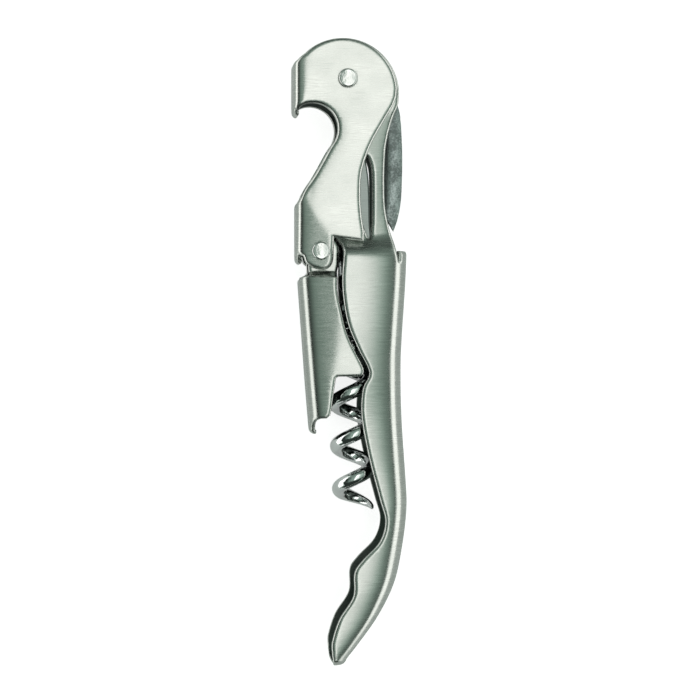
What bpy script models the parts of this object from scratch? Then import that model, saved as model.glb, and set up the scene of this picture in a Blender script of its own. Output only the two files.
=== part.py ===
"""Double-hinged lever corkscrew (waiter's friend), lying closed on its side.

The object lies flat: +Y runs from the handle's tip to the head, +X towards the handle's spine, and +Z up,
through the thickness. The two sides are mirror images about the plane z = MID. Outlines are in millimetres,
measured from the middle of the length and from the worm's side of the main rivet.
"""
import math

import bmesh
import bpy
from mathutils import Matrix, Vector

MM = 0.001
CENTRE_X = 0.315         # outline x of the middle of the whole object's width
MID = 6.3                # height of the plane of symmetry above the surface it lies on

# Half thicknesses, from the plane of symmetry to each sheet's outer face
HANDLE_HALF = 6.3
NECK_HALF = 4.0
UPPER_HALF = 5.3
LOWER_HALF = 5.9
TONGUE_HALF = 4.0
SHEET = 1.0              # thickness of the handle's and the upper lever's sheet
LOWER_SHEET = 0.9        # thickness of the lower lever's sheet

# Joint axes, all along z
MAIN_PIVOT = (-0.31, 52.18)
LEVER_PIVOT = (-5.42, 19.33)
WORM_PIVOT = (-0.8, 24.4)

# Rivets and pins
RIVET_R = 1.3
RIVET_HEAD_R = 1.75
RIVET_TOP = 6.3
HOLE_CLEARANCE = 0.12
HEAD_CLEARANCE = 0.15
WORM_PIN_R = 1.2

# Worm
WORM_TILT = 2.6          # degrees between the worm's axis and the handle's length
WORM_PITCH = 8.2
WORM_R = 3.1             # radius of the wire's centre line
WIRE_R = 1.28
WORM_TIP_Y = -30.15
WORM_LEFT_Y = -17.76     # where one turn of the wire is furthest to the left
SHANK_END = 11.5         # how far below its pin the straight shank reaches

BEND_STEPS = 4           # facets across each folded corner
CUTTER_HALF = 9.0        # reach of the hole cutters to each side of the plane of symmetry


# ---------------------------------------------------------------- curves

def arc(centre, radius, start, end, steps):
    """Points on a circular arc, from start to end degrees, both ends included."""
    points = []
    for i in range(steps + 1):
        a = math.radians(start + (end - start) * i / steps)
        points.append((centre[0] + radius * math.cos(a), centre[1] + radius * math.sin(a)))
    return points


def through(points, steps=4):
    """A smooth curve through the points (Catmull-Rom), with steps pieces between each pair."""
    ends = [(2 * points[0][0] - points[1][0], 2 * points[0][1] - points[1][1])]
    tail = [(2 * points[-1][0] - points[-2][0], 2 * points[-1][1] - points[-2][1])]
    p = [Vector(q) for q in ends + list(points) + tail]
    curve = []
    for i in range(1, len(p) - 2):
        for k in range(steps):
            t = k / steps
            a = 2 * p[i]
            b = p[i + 1] - p[i - 1]
            c = 2 * p[i - 1] - 5 * p[i] + 4 * p[i + 1] - p[i + 2]
            d = 3 * p[i] - p[i - 1] - 3 * p[i + 1] + p[i + 2]
            q = 0.5 * (a + b * t + c * t * t + d * t * t * t)
            curve.append((q.x, q.y))
    curve.append(tuple(points[-1]))
    return curve


def line(start, end, steps):
    """Points on a straight line, both ends included."""
    return [(start[0] + (end[0] - start[0]) * i / steps, start[1] + (end[1] - start[1]) * i / steps)
            for i in range(steps + 1)]


def ramp(value, low, high):
    """Smooth 0 to 1 step between low and high."""
    t = min(max((value - low) / (high - low), 0.0), 1.0)
    return t * t * (3 - 2 * t)


def follow(points, y):
    """x of a chain of (x, y) points, in order of falling y, at the height y."""
    if y >= points[0][1]:
        return points[0][0]
    for (x0, y0), (x1, y1) in zip(points, points[1:]):
        if y >= y1:
            return x0 + (x1 - x0) * (y - y0) / (y1 - y0)
    return points[-1][0]


def stepped(function, cuts):
    """The function of y, made straight between the cuts, so that the facets there are flat."""
    chain = [(function(y), y) for y in sorted(cuts, reverse=True)]
    return lambda y: follow(chain, y)


# ---------------------------------------------------------------- mesh tools

def material(name, colour, roughness, metallic=1.0):
    """A Principled material."""
    made = bpy.data.materials.new(name)
    made.use_nodes = True
    shader = made.node_tree.nodes["Principled BSDF"]
    shader.inputs["Base Color"].default_value = (*colour, 1)
    shader.inputs["Roughness"].default_value = roughness
    shader.inputs["Metallic"].default_value = metallic
    return made


def to_object(name, bm, mat, pivot=(0, 0)):
    """Turn a mesh in outline millimetres into a named object, with its origin on the pivot."""
    origin = Vector(((pivot[0] - CENTRE_X) * MM, pivot[1] * MM, MID * MM))
    for v in bm.verts:
        v.co = Vector(((v.co.x - CENTRE_X) * MM, v.co.y * MM, (v.co.z + MID) * MM)) - origin
    bmesh.ops.recalc_face_normals(bm, faces=bm.faces)
    top = max(bm.faces, key=lambda f: f.calc_center_median().z)
    if top.normal.z < 0:
        bmesh.ops.reverse_faces(bm, faces=bm.faces)
    mesh = bpy.data.meshes.new(name)
    bm.to_mesh(mesh)
    bm.free()
    mesh.materials.append(mat)
    mesh.shade_smooth()
    mesh.set_sharp_from_angle(angle=math.radians(30))
    made = bpy.data.objects.new(name, mesh)
    bpy.context.scene.collection.objects.link(made)
    made.location = origin
    return made


def prism(bm, outline, low, high):
    """Add a closed prism over the outline, between two heights."""
    bottom = [bm.verts.new((x, y, low)) for x, y in outline]
    top = [bm.verts.new((x, y, high)) for x, y in outline]
    bm.faces.new(bottom)
    bm.faces.new(top)
    for i in range(len(outline)):
        j = (i + 1) % len(outline)
        bm.faces.new((bottom[i], bottom[j], top[j], top[i]))


def turned(bm, centre, profile, sides=32):
    """Add a closed solid of revolution about z, from a closed profile of (radius, z) points."""
    rings = []
    for i in range(sides):
        a = 2 * math.pi * i / sides
        rings.append([bm.verts.new((centre[0] + r * math.cos(a), centre[1] + r * math.sin(a), z))
                      for r, z in profile])
    for i in range(sides):
        here = rings[i]
        there = rings[(i + 1) % sides]
        for k in range(len(profile)):
            m = (k + 1) % len(profile)
            bm.faces.new((here[k], there[k], there[m], here[m]))
    bmesh.ops.remove_doubles(bm, verts=bm.verts, dist=1e-5)


def boolean(target, cutter, operation):
    """Join the cutter to the target, or cut it away, and leave the cutter as a guide."""
    modifier = target.modifiers.new(operation.title() + "_" + cutter.name, "BOOLEAN")
    modifier.operation = operation
    modifier.object = cutter
    cutter.hide_render = True
    cutter.display_type = "WIRE"


def holes(target, bores, windows=()):
    """Cut round bores, given as (centre, radius), and outlined windows through the whole thickness."""
    bm = bmesh.new()
    for centre, radius in bores:
        prism(bm, arc(centre, radius, 0, 360, 32)[:-1], -CUTTER_HALF, CUTTER_HALF)
    for outline in windows:
        prism(bm, outline, -CUTTER_HALF, CUTTER_HALF)
    boolean(target, to_object("cut_" + target.name, bm, target.data.materials[0]), "DIFFERENCE")


class Fold:
    """How a flat pattern folds: walls to each side of a web that follows the spine.

    spine(y) is the web's outer face, side is +1 with the web on the right and -1 on the left, and
    half(x, y) is the height of the wall's outer face. A pattern's distance past the start of the bend
    runs round the corner and then down the web, to the plane of symmetry.
    """

    def __init__(self, spine, side, radius, half):
        self.spine = spine
        self.side = side
        self.radius = radius
        self.half = half
        self.corner = radius * math.pi / 2

    def start(self, y):
        """x where the wall begins to bend."""
        return self.spine(y) - self.side * self.radius

    def past(self, distance, y):
        """Pattern x at a distance past the start of the bend."""
        return self.start(y) + self.side * distance

    def middle(self, y):
        """Pattern x of the plane of symmetry."""
        return self.past(self.corner + self.half(self.spine(y), y) - self.radius, y)

    def place(self, s, y):
        """Point in space of the pattern's point at distance s past the bend's start."""
        x = self.start(y) + self.side * s
        if s <= 0:
            return Vector((x, y, self.half(x, y)))
        height = self.half(self.spine(y), y)
        if s < self.corner:
            a = s / self.radius
            x = self.start(y) + self.side * self.radius * math.sin(a)
            return Vector((x, y, height - self.radius * (1 - math.cos(a))))
        return Vector((self.spine(y), y, height - self.radius - (s - self.corner)))


def cut_at(bm, normal, position):
    """Cut every face along a straight line."""
    bmesh.ops.bisect_plane(bm, geom=bm.verts[:] + bm.edges[:] + bm.faces[:], dist=1e-5,
                           plane_co=Vector(normal) * position, plane_no=normal)


def folded(name, outline, fold, y_cuts, thickness, mat, pivot=(0, 0)):
    """A folded sheet: the outline is half of its flat pattern, up to the plane of symmetry."""
    bm = bmesh.new()
    bm.faces.new([bm.verts.new((fold.side * (x - fold.start(y)), y, 0)) for x, y in outline])
    for i in range(BEND_STEPS + 1):
        cut_at(bm, (1, 0, 0), fold.corner * i / BEND_STEPS)
    for y in y_cuts:
        cut_at(bm, (0, 1, 0), y)
    for v in bm.verts:
        v.co = fold.place(v.co.x, v.co.y)
        if abs(v.co.z) < 1e-4:
            v.co.z = 0
    copy = bmesh.ops.duplicate(bm, geom=bm.verts[:] + bm.edges[:] + bm.faces[:])["geom"]
    for v in copy:
        if isinstance(v, bmesh.types.BMVert):
            v.co.z = -v.co.z
    bmesh.ops.remove_doubles(bm, verts=bm.verts, dist=1e-3)
    made = to_object(name, bm, mat, pivot)
    solid = made.modifiers.new("Sheet", "SOLIDIFY")
    solid.thickness = thickness * MM
    solid.offset = -1
    solid.use_even_offset = True
    return made


# ---------------------------------------------------------------- handle and neck

HANDLE_BEND_R = 1.6
SPINE_TOP = 19.4         # where the handle's spine ends
RELIEF_LOW = 17.4        # foot of the slit between the spine's end and the neck wall
JOGGLE_LOW = 17.4        # the walls step inward from here...
JOGGLE_HIGH = 21.4       # ...to here
TIP_Y = -60.0

HANDLE_SPINE = through([(11.08, 19.4), (10.62, 12.8), (9.93, 2.55), (9.74, -3.54), (9.95, -13.1),
                        (10.55, -22.7), (10.87, -29.6), (10.01, -37.3), (8.48, -44.1), (5.4, -50.3),
                        (1.45, -55.7), (-1.2, -60.0)], 3)

HANDLE_OPEN = through([(-1.09, 19.43), (-1.44, 12.8), (-0.48, 5.95), (1.57, 0.84), (3.4, -2.6),
                       (3.73, -4.42), (2.55, -6.99), (2.28, -12.12), (3.66, -19.81), (5.74, -27.85),
                       (6.85, -32.12), (5.74, -36.04), (2.49, -39.47), (0.9, -41.9), (0.69, -46.34),
                       (-1.95, -50.61), (-3.33, -54.87), (-3.1, -58.2), (-1.9, -60.0)], 3)

NECK_RIGHT = through([(9.26, 19.47), (8.57, 21.69), (7.18, 25.84), (6.5, 31.0), (6.62, 37.51),
                      (7.29, 41.44), (8.52, 45.92), (9.5, 48.0)], 3)

NECK_LEFT = through([(-8.05, 52.2), (-7.2, 49.4), (-4.6, 47.9), (-2.2, 45.6), (-1.5, 42.0), (-1.7, 37.0),
                     (-2.2, 31.0), (-3.3, 27.0), (-3.7, 24.4), (-3.0, 22.4), (-1.6, 21.0),
                     (-1.09, 19.43)], 3)

NECK_HEAD_CENTRE = (-1.05, 49.3)
NECK_HEAD_R = 10.7       # a little larger than the upper lever's head, which lies over it
NECK_CROWN_R = 7.75      # round the main rivet, inside the hook's sweep

WINDOW = [(4.0, 24.0), (4.3, 27.0), (4.4, 33.0), (4.2, 35.6), (3.3, 37.4), (2.2, 36.6), (1.5, 33.0),
          (1.4, 28.0), (1.8, 24.4), (2.9, 22.6)]


def handle_channel(steel):
    """The handle's channel and the two neck walls, folded from one sheet."""
    cuts = [TIP_Y, -58, -56, -54, -51, -48, -45, -41, -37, -33, -29, -24, -19, -14, -9, -4, 1, 6, 12,
            17.4, 18.2, 18.9, SPINE_TOP, 20.2, 20.8, 21.4, 30, 44, 62]
    # The web runs off to the right beside the neck, which has no web
    spine = stepped(lambda y: follow(HANDLE_SPINE, y) + 3 * ramp(y, 30, 44), cuts)
    wall = stepped(lambda y: HANDLE_HALF - (HANDLE_HALF - NECK_HALF) * ramp(y, JOGGLE_LOW, JOGGLE_HIGH), cuts)

    def half(x, y):
        """The wall steps inward towards the neck, while the end of the spine stays level."""
        return HANDLE_HALF if x > 9.4 and y < SPINE_TOP + 1 else wall(y)

    fold = Fold(spine, 1, HANDLE_BEND_R, half)
    relief = [(fold.past(1.6, SPINE_TOP), SPINE_TOP), (fold.past(0.9, SPINE_TOP - 0.3), SPINE_TOP - 0.3),
              (fold.past(0.8, RELIEF_LOW), RELIEF_LOW), (fold.past(-0.15, RELIEF_LOW), RELIEF_LOW)]
    head = arc(NECK_HEAD_CENTRE, NECK_HEAD_R, 2, 88, 14) + arc(MAIN_PIVOT, NECK_CROWN_R, 100, 176, 10)
    web = [(fold.middle(y), y) for y in (TIP_Y, SPINE_TOP)]
    outline = web + relief + NECK_RIGHT[1:] + head + NECK_LEFT[:-1] + HANDLE_OPEN
    made = folded("handle_channel", outline, fold, cuts, SHEET, steel)
    window = through(WINDOW + WINDOW[:1], 3)[:-1]
    holes(made, [(MAIN_PIVOT, RIVET_R + HOLE_CLEARANCE), (WORM_PIVOT, WORM_PIN_R + HOLE_CLEARANCE)], [window])
    return made


# ---------------------------------------------------------------- upper lever

UPPER_BEND_R = 1.3
HOOK_SPINE_X = -10.45
UPPER_SPINE_X = -9.8
HOOK_TOP = 55.4
HOOK_END = 45.0
WEB_TOP = 28.7
UPPER_TOE_END = 16.75
CAP_CENTRE = (-7.08, 42.6)
CAP_R = 4.79
HEAD_CENTRE = (-1.2, 49.42)
HEAD_R = 10.42


def upper_spine(y):
    """The web steps from the hook to the lever's lower part, where there is no web between them."""
    return UPPER_SPINE_X + (HOOK_SPINE_X - UPPER_SPINE_X) * ramp(y, 33, 40)


def upper_lever(steel):
    """The lever with the round head, the cap-lifter hook and the first rim toe."""
    fold = Fold(upper_spine, -1, UPPER_BEND_R, lambda x, y: UPPER_HALF)
    head = arc(HEAD_CENTRE, HEAD_R, 5, 137, 22)
    hook = [(fold.past(0.4, 55.9), 55.9), (fold.past(1.4, HOOK_TOP), HOOK_TOP),
            (fold.middle(HOOK_TOP), HOOK_TOP), (fold.middle(HOOK_END), HOOK_END),
            (fold.past(2.0, HOOK_END), HOOK_END), (fold.past(1.3, HOOK_END + 0.35), HOOK_END + 0.35)]
    cap = arc(CAP_CENTRE, CAP_R, 134, -36.5, 22)
    slant = line(cap[-1], (fold.past(0.9, WEB_TOP + 0.25), WEB_TOP + 0.25), 8)[1:]
    web = [(fold.middle(WEB_TOP), WEB_TOP), (fold.middle(UPPER_TOE_END), UPPER_TOE_END),
           (fold.past(2.2, UPPER_TOE_END), UPPER_TOE_END), (fold.past(1.5, 17.3), 17.3),
           (fold.past(1.2, 18.6), 18.6), (fold.past(0.6, 18.6), 18.6)]
    ear = through([(-8.75, 17.6), (-8.0, 16.7), (-6.5, 16.0), (-4.9, 15.75), (-3.7, 16.3), (-3.1, 17.6),
                   (-3.02, 19.6), (-2.9, 21.88)], 3)
    edge = through([(2.78, 21.19), (2.87, 22.87), (2.39, 26.13), (2.16, 30.22), (2.49, 34.74),
                    (4.19, 39.66), (6.85, 44.46), (8.3, 46.9), (9.0, 48.6)], 3)
    outline = head + hook + cap + slant + web + ear + edge
    made = folded("upper_lever", outline, fold, [22, 33, 36, 40, 50], SHEET, steel, MAIN_PIVOT)
    holes(made, [(MAIN_PIVOT, RIVET_R + HOLE_CLEARANCE), (LEVER_PIVOT, RIVET_R + HOLE_CLEARANCE)])
    return made


# ---------------------------------------------------------------- lower lever

LOWER_BEND_R = 1.3
LOWER_WEB_TOP = 13.6
LOWER_TOE_END = -15.66
SHOULDER_LOW = 13.7      # the walls step inward from here...
SHOULDER_HIGH = 15.7     # ...to here, and go on as the tongue
TONGUE_CENTRE = (-5.1, 19.33)
TONGUE_R = 3.28

LOWER_SPINE = [(-9.25, 14.5), (-8.55, 5.0), (-7.78, -5.5), (-6.9, -16.0)]


def lower_lever(steel):
    """The second lever: a channel with a tongue at the top, a rim step and a toe at the bottom."""
    cuts = [-20, -10, -5.5, 0, 5, 9, 13.7, 14.2, 14.7, 15.2, 15.7, 26]
    spine = stepped(lambda y: follow(LOWER_SPINE, y), cuts)
    wall = stepped(lambda y: LOWER_HALF - (LOWER_HALF - TONGUE_HALF) * ramp(y, SHOULDER_LOW, SHOULDER_HIGH), cuts)
    fold = Fold(spine, -1, LOWER_BEND_R, lambda x, y: wall(y))
    tongue = arc(TONGUE_CENTRE, TONGUE_R, -8, 213, 20)
    shoulder = [(-7.85, 16.6), (-7.8, 15.5), (fold.past(0.3, 14.6), 14.6),
                (fold.past(1.8, LOWER_WEB_TOP), LOWER_WEB_TOP)]
    web = [(fold.middle(y), y) for y in (LOWER_WEB_TOP, LOWER_TOE_END)]
    toe = [(fold.past(1.6, -15.6), -15.6), (fold.past(1.0, -15.2), -15.2), (fold.past(0.87, -14.0), -14.0),
           (fold.past(0.4, -12.95), -12.95), (-5.57, -12.56)]
    step = [(-4.4, -12.5), (-3.71, -11.89), (-3.39, -10.62), (-3.0, -7.5), (-2.62, -4.94), (-2.2, -4.56),
            (2.16, -4.5), (2.6, -4.1), (2.74, -3.6), (2.66, -2.91)]
    edge = through([(1.74, -1.05), (0.36, 1.68), (-0.65, 4.25), (-1.51, 7.68), (-2.3, 11.5),
                    (-2.3, 14.6), (-1.91, 16.88)], 3)
    outline = tongue + shoulder + web + toe + step + edge
    made = folded("lower_lever", outline, fold, cuts, LOWER_SHEET, steel, LEVER_PIVOT)
    holes(made, [(LEVER_PIVOT, RIVET_R + HOLE_CLEARANCE)])
    return made


# ---------------------------------------------------------------- rivets, pins and spacers

def rivet(name, centre, plate_half, dome, steel):
    """A rivet through the whole thickness, with a low domed head on each side."""
    seat = plate_half + HEAD_CLEARANCE
    rim = RIVET_TOP - dome
    upper = [(RIVET_R, seat), (RIVET_HEAD_R, seat), (RIVET_HEAD_R, rim)]
    upper += [(RIVET_HEAD_R - 0.35, RIVET_TOP - dome * 0.3), (RIVET_HEAD_R - 0.8, RIVET_TOP), (0, RIVET_TOP)]
    lower = [(r, -z) for r, z in reversed(upper)]
    bm = bmesh.new()
    turned(bm, centre, lower + upper)
    return to_object(name, bm, steel, centre)


def collar(name, centre, inner, outer, low, high, steel):
    """A plain ring round a pin."""
    bm = bmesh.new()
    turned(bm, centre, [(inner, low), (outer, low), (outer, high), (inner, high)])
    return to_object(name, bm, steel, centre)


def worm_pin(steel):
    """The pin that the worm folds on, ending flush with the neck's walls."""
    bm = bmesh.new()
    end = NECK_HALF
    turned(bm, WORM_PIVOT, [(0, -end), (WORM_PIN_R - 0.2, -end), (WORM_PIN_R, 0.2 - end),
                            (WORM_PIN_R, end - 0.2), (WORM_PIN_R - 0.2, end), (0, end)])
    return to_object("worm_pin", bm, steel, WORM_PIVOT)


# ---------------------------------------------------------------- knife and spring

BLADE_HALF = 0.5
SPRING_HALF = 2.6
WORM_EYE_HALF = 1.6
WORM_EYE_R = 2.35


def knife_blade(steel):
    """The foil knife: a round tang on the main rivet and a blade that tapers to its tip."""
    back = through([(8.85, 23.2), (9.73, 25.84), (10.35, 29.5), (10.58, 35.7), (10.47, 41.44), (9.9, 46.8),
                    (7.6, 51.2), (4.2, 54.6)], 3)
    tang = arc(MAIN_PIVOT, 4.5, 48, 262, 16)
    edge = through([(1.6, 46.6), (3.5, 43.6), (4.8, 38.0), (5.5, 32.0), (6.6, 27.0)], 3)
    bm = bmesh.new()
    prism(bm, back + tang + edge, -BLADE_HALF, BLADE_HALF)
    made = to_object("knife_blade", bm, steel, MAIN_PIVOT)
    holes(made, [(MAIN_PIVOT, RIVET_R + HOLE_CLEARANCE)])
    return made


def back_spring(steel):
    """A leaf spring that runs up the neck from the worm's pin to the knife's tang."""
    outer = through([(3.2, 28.0), (3.35, 33.0), (2.9, 38.0), (1.7, 42.6), (-0.4, 46.9)], 4)
    inner = through([(-1.3, 46.4), (0.8, 42.2), (2.0, 37.6), (2.4, 33.0), (2.2, 28.0)], 4)
    bm = bmesh.new()
    prism(bm, outer + inner, -SPRING_HALF, SPRING_HALF)
    made = to_object("back_spring", bm, steel)
    ear = arc(WORM_PIVOT, WORM_EYE_R, 75, 345, 20) + [(3.25, 26.0), (3.3, 29.0), (2.3, 29.0), (1.5, 27.6)]
    for name, low in (("ear_front", 1.85), ("ear_back", -SPRING_HALF - 0.01)):
        bm = bmesh.new()
        prism(bm, ear, low, low + SPRING_HALF - 1.84)
        boolean(made, to_object(name, bm, steel), "UNION")
    holes(made, [(WORM_PIVOT, WORM_PIN_R + HOLE_CLEARANCE)])
    return made


# ---------------------------------------------------------------- worm

def worm_path():
    """Centre line of the wire, from the pin down: (point, wire radius), axis along -y from the pin."""
    left_turn = WORM_PIVOT[1] - WORM_LEFT_Y
    length = WORM_PIVOT[1] - WORM_TIP_Y
    path = []
    for depth in (1.4, 4.0, 7.0, 9.5):
        path.append((Vector((0, -depth, 0)), WIRE_R))
    steps = 96
    for i in range(steps + 1):
        depth = SHANK_END + (length - SHANK_END) * i / steps
        phase = -2 * math.pi * (depth - left_turn) / WORM_PITCH - math.pi / 2
        radius = WORM_R * ramp(depth, SHANK_END - 1.5, SHANK_END + 4.5)
        wire = WIRE_R * (0.12 + 0.88 * min((length - depth) / 4.5, 1.0) ** 0.7)
        path.append((Vector((radius * math.sin(phase), -depth, radius * math.cos(phase))), wire))
    return path


def tube(bm, path, sides):
    """Add a round tube along a path, closed at both ends."""
    rings = []
    side = Vector((1, 0, 0))
    for i, (point, radius) in enumerate(path):
        before = path[max(i - 1, 0)][0]
        after = path[min(i + 1, len(path) - 1)][0]
        tangent = (after - before).normalized()
        side = (side - tangent * side.dot(tangent)).normalized()
        other = tangent.cross(side)
        rings.append([bm.verts.new(point + radius * (side * math.cos(a) + other * math.sin(a)))
                      for a in [2 * math.pi * k / sides for k in range(sides)]])
    for here, there in zip(rings, rings[1:]):
        for k in range(sides):
            m = (k + 1) % sides
            bm.faces.new((here[k], here[m], there[m], there[k]))
    bm.faces.new(rings[0])
    bm.faces.new(rings[-1])


def worm(chrome):
    """The screw: an eye on its pin, a straight shank and a right-handed helix with a sharp tip."""
    bm = bmesh.new()
    tube(bm, worm_path(), 10)
    turn = Matrix.Translation((*WORM_PIVOT, 0)) @ Matrix.Rotation(math.radians(WORM_TILT), 4, "Z")
    bmesh.ops.transform(bm, matrix=turn, verts=bm.verts)
    made = to_object("worm", bm, chrome, WORM_PIVOT)
    bm = bmesh.new()
    turned(bm, WORM_PIVOT, [(0, -WORM_EYE_HALF), (WORM_EYE_R, -WORM_EYE_HALF), (WORM_EYE_R, WORM_EYE_HALF),
                            (0, WORM_EYE_HALF)])
    boolean(made, to_object("worm_eye", bm, chrome), "UNION")
    holes(made, [(WORM_PIVOT, WORM_PIN_R + HOLE_CLEARANCE)])
    return made


# ---------------------------------------------------------------- assembly

def build():
    """Clear the scene and make every piece."""
    for old in list(bpy.data.objects):
        bpy.data.objects.remove(old, do_unlink=True)
    handle_channel(material("handle_steel", (0.62, 0.64, 0.62), 0.32))
    upper_lever(material("lever_steel", (0.68, 0.69, 0.67), 0.30))
    lower_lever(material("lower_lever_steel", (0.60, 0.62, 0.60), 0.32))
    worm(material("chrome", (0.75, 0.76, 0.76), 0.08))
    knife_blade(material("blade_steel", (0.42, 0.45, 0.45), 0.38))
    back_spring(material("spring_steel", (0.55, 0.57, 0.56), 0.30))
    rivet_steel = material("rivet_steel", (0.72, 0.73, 0.72), 0.22)
    rivet("main_rivet", MAIN_PIVOT, UPPER_HALF, 0.25, rivet_steel)
    rivet("lever_rivet", LEVER_PIVOT, UPPER_HALF, 0.45, rivet_steel)
    pin_steel = material("pin_steel", (0.6, 0.6, 0.6), 0.3)
    worm_pin(pin_steel)
    ring = RIVET_R + HOLE_CLEARANCE
    gap = 0.25
    neck_inner = NECK_HALF - SHEET
    collar("knife_spacer_front", MAIN_PIVOT, ring, 3.4, BLADE_HALF + gap, neck_inner - gap, pin_steel)
    collar("knife_spacer_back", MAIN_PIVOT, ring, 3.4, gap - neck_inner, -BLADE_HALF - gap, pin_steel)
    tongue_inner = TONGUE_HALF - LOWER_SHEET
    collar("lever_spacer", LEVER_PIVOT, ring, 2.2, gap - tongue_inner, tongue_inner - gap, pin_steel)


build()
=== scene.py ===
"""Looks of the double-hinged lever corkscrew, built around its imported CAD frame.

Every sheet piece starts as a flat plate with rounded rims and is then bent over its fold, so that its skin,
its cut edges and its inside are one closed body. Outlines are in millimetres, as in the CAD source: x from
the worm's side of the main rivet, y along the length, and z from the plane of symmetry between the walls.
"""
import math

import bmesh
import bpy
from mathutils import Matrix, Vector


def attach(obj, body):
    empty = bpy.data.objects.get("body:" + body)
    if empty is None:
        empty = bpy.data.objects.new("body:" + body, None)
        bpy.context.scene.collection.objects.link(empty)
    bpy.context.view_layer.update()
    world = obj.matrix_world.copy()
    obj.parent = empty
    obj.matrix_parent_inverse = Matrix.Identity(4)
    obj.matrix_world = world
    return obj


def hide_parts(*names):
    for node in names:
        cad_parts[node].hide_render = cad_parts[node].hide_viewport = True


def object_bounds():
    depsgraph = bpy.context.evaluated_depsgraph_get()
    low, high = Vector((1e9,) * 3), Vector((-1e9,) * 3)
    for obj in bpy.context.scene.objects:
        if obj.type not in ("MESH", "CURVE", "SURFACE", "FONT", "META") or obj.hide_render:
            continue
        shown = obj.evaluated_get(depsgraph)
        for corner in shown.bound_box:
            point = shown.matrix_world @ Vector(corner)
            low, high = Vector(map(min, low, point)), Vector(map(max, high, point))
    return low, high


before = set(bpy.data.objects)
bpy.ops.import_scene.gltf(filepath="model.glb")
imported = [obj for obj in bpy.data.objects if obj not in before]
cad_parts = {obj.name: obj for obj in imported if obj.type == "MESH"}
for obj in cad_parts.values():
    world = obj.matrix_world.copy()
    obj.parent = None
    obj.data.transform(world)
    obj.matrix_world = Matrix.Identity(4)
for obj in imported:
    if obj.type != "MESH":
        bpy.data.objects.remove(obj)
CAD_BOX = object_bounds()

MM = 0.001
CENTRE_X = 0.315         # outline x of the middle of the object's width
MID = 6.3                # height of the plane of symmetry above the surface it lies on

# Half thicknesses, from the plane of symmetry to each sheet's outer face
HANDLE_HALF = 6.3
NECK_HALF = 4.0
UPPER_HALF = 5.3
LOWER_HALF = 5.9
TONGUE_HALF = 3.45
SHEET = 1.0              # thickness of the handle's and the upper lever's sheet
LOWER_SHEET = 0.9        # thickness of the lower lever's sheet

# Joint axes, all along z
MAIN_PIVOT = (-0.31, 52.18)
LEVER_PIVOT = (-5.42, 19.33)
WORM_PIVOT = (-0.8, 24.4)

RIVET_R = 1.3
HOLE_CLEARANCE = 0.12
INNER_RIM = 0.12         # rounding of the sheets' inner cut edges
BORE_RIM = 0.45          # rounding of the rivets' bores
EAR_BORE_RIM = 0.1       # rounding of the lever rivet's bore in the upper lever's narrow ear
BORE_REACH = 0.05        # an edge no further than this outside a bore's radius belongs to the bore
WORM_PIN_R = 1.2


# ---------------------------------------------------------------- curves

def arc(centre, radius, start, end, steps):
    """Points on a circular arc, from start to end degrees, both ends included."""
    points = []
    for i in range(steps + 1):
        a = math.radians(start + (end - start) * i / steps)
        points.append((centre[0] + radius * math.cos(a), centre[1] + radius * math.sin(a)))
    return points


def through(points, steps=10):
    """A smooth curve through the points (Catmull-Rom), with steps pieces between each pair."""
    ends = [(2 * points[0][0] - points[1][0], 2 * points[0][1] - points[1][1])]
    tail = [(2 * points[-1][0] - points[-2][0], 2 * points[-1][1] - points[-2][1])]
    p = [Vector(q) for q in ends + list(points) + tail]
    curve = []
    for i in range(1, len(p) - 2):
        for k in range(steps):
            t = k / steps
            a = 2 * p[i]
            b = p[i + 1] - p[i - 1]
            c = 2 * p[i - 1] - 5 * p[i] + 4 * p[i + 1] - p[i + 2]
            d = 3 * p[i] - p[i - 1] - 3 * p[i + 1] + p[i + 2]
            q = 0.5 * (a + b * t + c * t * t + d * t * t * t)
            curve.append((q.x, q.y))
    curve.append(tuple(points[-1]))
    return curve


def ramp(value, low, high):
    """Smooth 0 to 1 step between low and high."""
    t = min(max((value - low) / (high - low), 0.0), 1.0)
    return t * t * (3 - 2 * t)


def follow(points, y):
    """x of a chain of (x, y) points, in order of falling y, at the height y."""
    if y >= points[0][1]:
        return points[0][0]
    for (x0, y0), (x1, y1) in zip(points, points[1:]):
        if y >= y1:
            return x0 + (x1 - x0) * (y - y0) / (y1 - y0)
    return points[-1][0]


def steps_between(low, high, size):
    """Even steps from low to high, each at most the size."""
    count = max(1, math.ceil((high - low) / size))
    return [low + (high - low) * i / count for i in range(count + 1)]


# ---------------------------------------------------------------- mesh tools

def to_row(point):
    """A point in outline millimetres, in the row frame's metres."""
    return Vector(((point[0] - CENTRE_X) * MM, point[1] * MM, (point[2] + MID) * MM))


def to_object(name, bm, *mats, sharp=35):
    """Turn a closed mesh in outline millimetres into a smooth-shaded object in the row frame."""
    for v in bm.verts:
        v.co = to_row(v.co)
    bmesh.ops.recalc_face_normals(bm, faces=bm.faces)
    mesh = bpy.data.meshes.new(name)
    bm.to_mesh(mesh)
    bm.free()
    for mat in mats:
        mesh.materials.append(mat)
    mesh.shade_smooth()
    mesh.set_sharp_from_angle(angle=math.radians(sharp))
    made = bpy.data.objects.new(name, mesh)
    bpy.context.scene.collection.objects.link(made)
    keep_flats_flat(made)
    return made


def keep_flats_flat(made):
    """Let large faces decide the shading normals, so that flats stay flat up to their rounded rims."""
    weights = made.modifiers.new("weights", "WEIGHTED_NORMAL")
    weights.keep_sharp = True
    bpy.context.view_layer.update()
    graph = bpy.context.evaluated_depsgraph_get()
    mesh = bpy.data.meshes.new_from_object(made.evaluated_get(graph), preserve_all_data_layers=True,
                                           depsgraph=graph)
    old = made.data
    made.modifiers.clear()
    made.data = mesh
    name = old.name
    bpy.data.meshes.remove(old)
    mesh.name = name


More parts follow.
